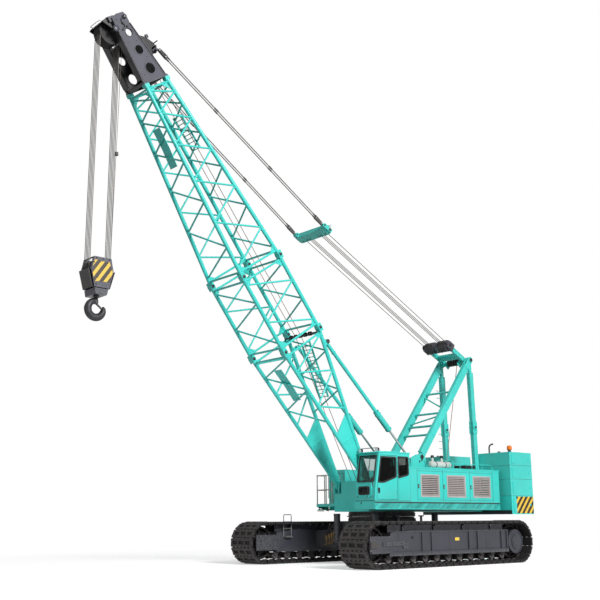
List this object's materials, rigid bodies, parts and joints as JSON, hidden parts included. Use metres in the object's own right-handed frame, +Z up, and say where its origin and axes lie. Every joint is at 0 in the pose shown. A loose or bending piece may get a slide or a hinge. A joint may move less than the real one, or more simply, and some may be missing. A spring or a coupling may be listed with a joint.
{
  "type": "crawler crane",
  "caption": "Crawler crane with a lattice boom, A-frame gantry, boom hoist pendants, hook block, swing upper structure with cab, and two tracks.",
  "frame": {"origin": "on the ground under the slewing axis, midway between the tracks", "axes": "+X forwards along the boom, +Y to the crane's left (cab side), +Z up"},
  "size_m": [18.7869, 7.02, 17.6157],
  "materials": {
    "teal_paint": "semi-gloss enamel",
    "frame_paint": "semi-gloss dark grey enamel",
    "track_steel": "worn, dusty cast steel",
    "dark_paint": "semi-gloss dark grey enamel",
    "cast_steel": "dark greased steel",
    "wire_rope": "stranded wire",
    "grille_grey": "satin light grey",
    "engine_grey": "matt",
    "glass": "tinted",
    "seat_cloth": "woven",
    "dark_plastic": "textured",
    "beacon_orange": "clear orange lens",
    "rail_grey": "satin grey",
    "rod_steel": "polished"
  },
  "bodies": {
    "undercarriage": {"track_left": "track_steel", "track_right": "track_steel", "track_frame_left": "frame_paint", "track_frame_right": "frame_paint", "idlers": "frame_paint", "sprockets": "frame_paint", "track_rollers": "frame_paint", "carbody": "frame_paint", "carbody_beams": "frame_paint", "carbody_jacks": "frame_paint", "slew_ring_lower": "frame_paint"},
    "upperstructure": {"main_frame": "teal_paint", "deck_left": "teal_paint", "deck_right": "teal_paint", "boom_foot_brackets": "teal_paint", "gantry_brackets": "teal_paint", "gantry_front_legs": "teal_paint", "gantry_cross_bars": "teal_paint", "gantry_rear_legs": "teal_paint", "house_left": "teal_paint", "house_right": "teal_paint", "grilles": "grille_grey", "engine": "engine_grey", "lamps": "dark_plastic", "cab_shell": "teal_paint", "cab_glass": "glass", "operator_seat": "seat_cloth", "cab_console": "dark_plastic", "counterweight_1": "teal_paint", "counterweight_2": "teal_paint", "counterweight_3": "teal_paint", "counterweight_4": "teal_paint", "winches": "cast_steel", "front_platform": "rail_grey", "beacon": "beacon_orange"},
    "cab_door": {"cab_door": "teal_paint", "cab_door_glass": "glass"},
    "boom": {"boom_base_trusses": "teal_paint", "boom_base_lacing": "teal_paint", "boom_insert_trusses": "teal_paint", "boom_insert_lacing": "teal_paint", "boom_tip_trusses": "teal_paint", "boom_tip_lacing": "teal_paint", "guide_sheaves": "cast_steel", "boom_head": "dark_paint", "head_sheaves": "cast_steel"},
    "backstop_tube_pair": {"backstop_tubes": "teal_paint"},
    "backstop_rod_pair": {"backstop_rods": "rod_steel"},
    "hoist_line": {"hoist_ropes": "wire_rope", "hook_block": "dark_paint", "block_sheaves": "cast_steel"},
    "hook": {"hook": "cast_steel"},
    "boom_hoist_block": {"bridle_arms": "teal_paint", "lower_block": "dark_paint", "boom_hoist_ropes": "wire_rope"},
    "pendant_line": {"upper_spreader": "teal_paint", "pendants": "wire_rope"}
  },
  "joints": [
    {"name": "swing", "type": "hinge", "parent": "undercarriage", "child": "upperstructure", "pos_m": [0, 0, 1.665], "axis": [0, 0, 1], "continuous": true},
    {"name": "boom_luff", "type": "hinge", "parent": "upperstructure", "child": "boom", "pos_m": [1.43, 0, 2.8], "axis": [0, -1, 0], "range_deg": [-25.9, 24.1]},
    {"name": "cab_door_hinge", "type": "hinge", "parent": "upperstructure", "child": "cab_door", "pos_m": [1.106, 1.916, 3], "axis": [0, 0, 1], "range_deg": [0, 100]},
    {"name": "hoist_pivot", "type": "hinge", "parent": "boom", "child": "hoist_line", "pos_m": [12.16687, 0, 16.99221], "axis": [0, -1, 0], "range_deg": [-24.2, 26]},
    {"name": "hook_swivel", "type": "hinge", "parent": "hoist_line", "child": "hook", "pos_m": [12.16687, 0, 8.15], "axis": [0, 0, 1], "continuous": true},
    {"name": "backstop_pivot", "type": "hinge", "parent": "boom", "child": "backstop_tube_pair", "pos_m": [3.39727, 0, 7.74962], "axis": [0, -1, 0], "range_deg": [-4.29, 4.61]},
    {"name": "backstop_slide", "type": "slide", "parent": "backstop_tube_pair", "child": "backstop_rod_pair", "axis": [-0.7245, 0, -0.6893], "range_m": [-0.9144, 0.9823]},
    {"name": "hoist_block_pivot", "type": "hinge", "parent": "upperstructure", "child": "boom_hoist_block", "pos_m": [-4.53, 0, 7.9], "axis": [0, -1, 0], "range_deg": [-22.5, 20.95]},
    {"name": "pendant_slide", "type": "slide", "parent": "boom_hoist_block", "child": "pendant_line", "axis": [0.887, 0, 0.4619], "range_m": [-3.0469, 3.2737], "deforming": ["boom_hoist_ropes"]}
  ],
  "couplings": [
    {"joint": "hoist_pivot", "follows": "boom_luff", "ratio": -1},
    {"joint": "backstop_pivot", "follows": "boom_luff", "ratio": -0.174},
    {"joint": "backstop_slide", "follows": "boom_luff", "m_per_rad": -2.162},
    {"joint": "hoist_block_pivot", "follows": "boom_luff", "ratio": 0.865},
    {"joint": "pendant_slide", "follows": "boom_luff", "m_per_rad": -7.22}
  ]
}
